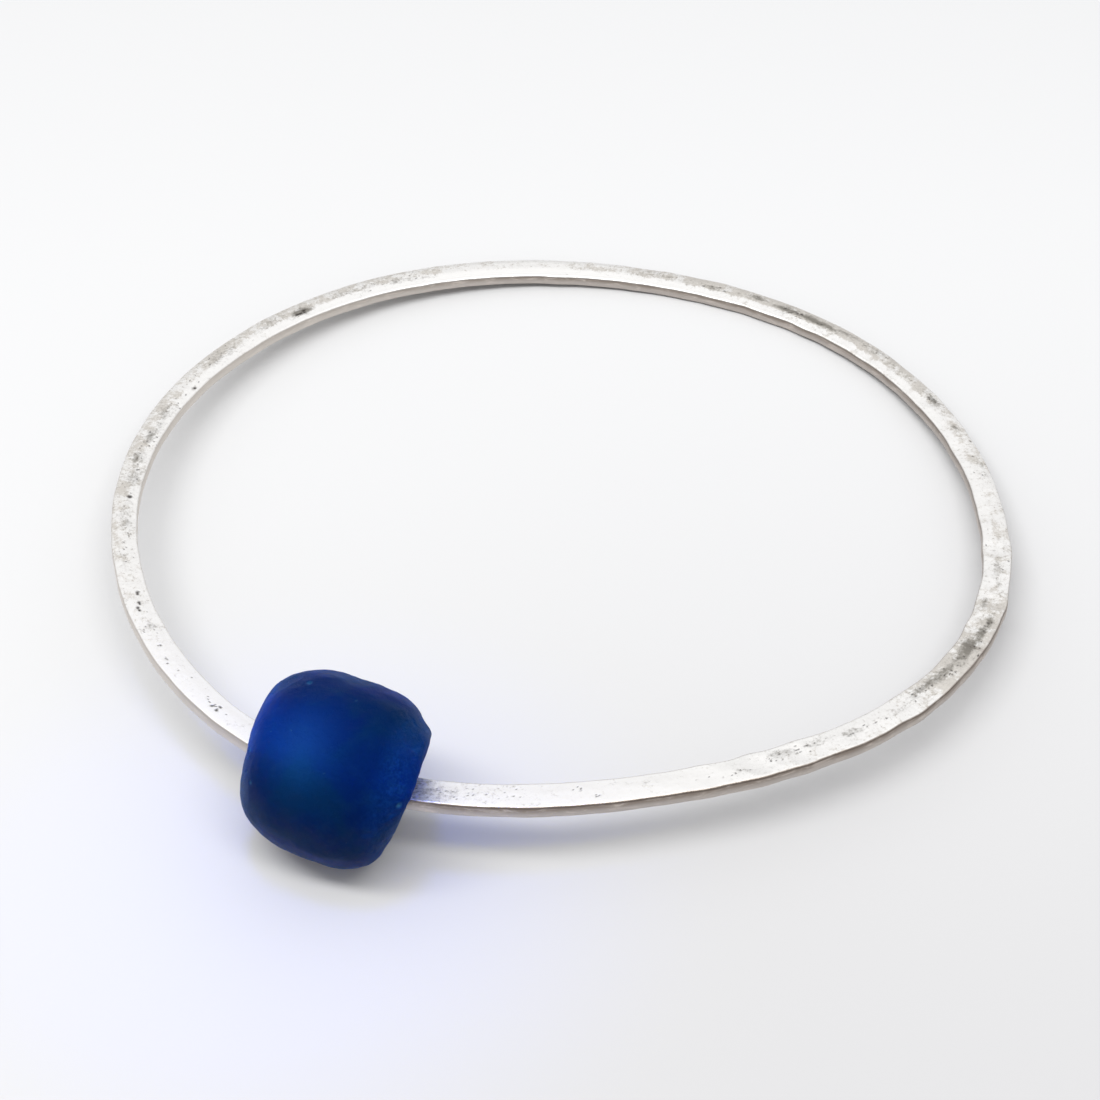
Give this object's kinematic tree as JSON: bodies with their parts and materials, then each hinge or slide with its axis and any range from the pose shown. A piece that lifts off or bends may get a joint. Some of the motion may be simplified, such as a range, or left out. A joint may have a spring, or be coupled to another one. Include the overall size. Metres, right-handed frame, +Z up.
{
  "type": "bangle bracelet",
  "caption": "Closed hammered silver wire bangle, slightly out of round, with a loose frosted blue glass bead threaded on it.",
  "frame": {"origin": "on the surface that the bracelet lies on, below the middle of its box", "axes": "+Z up from that surface; the bead is at the front left, towards -Y and -X, where the bangle is lifted highest"},
  "size_m": [0.0688, 0.0726, 0.0132],
  "materials": {
    "silver": "hand-hammered sterling silver, matte white with grey-brown tarnish in the pits",
    "solder": "silver solder, slightly greyer and rougher than the wire",
    "blue_glass": "frosted, deeply coloured cobalt-blue recycled glass with a matte grey-violet bloom"
  },
  "bodies": {
    "bead": {"glass_bead": "blue_glass"},
    "bangle": {"bangle_wire": "silver", "solder_seam": "solder"}
  },
  "joints": [
    {"name": "bangle_through_bead", "type": "hinge", "parent": "bead", "child": "bangle", "pos_m": [-0.00054, 0.00183, 0.00345], "axis": [0.0363, 0.0774, 0.9963], "continuous": true}
  ]
}
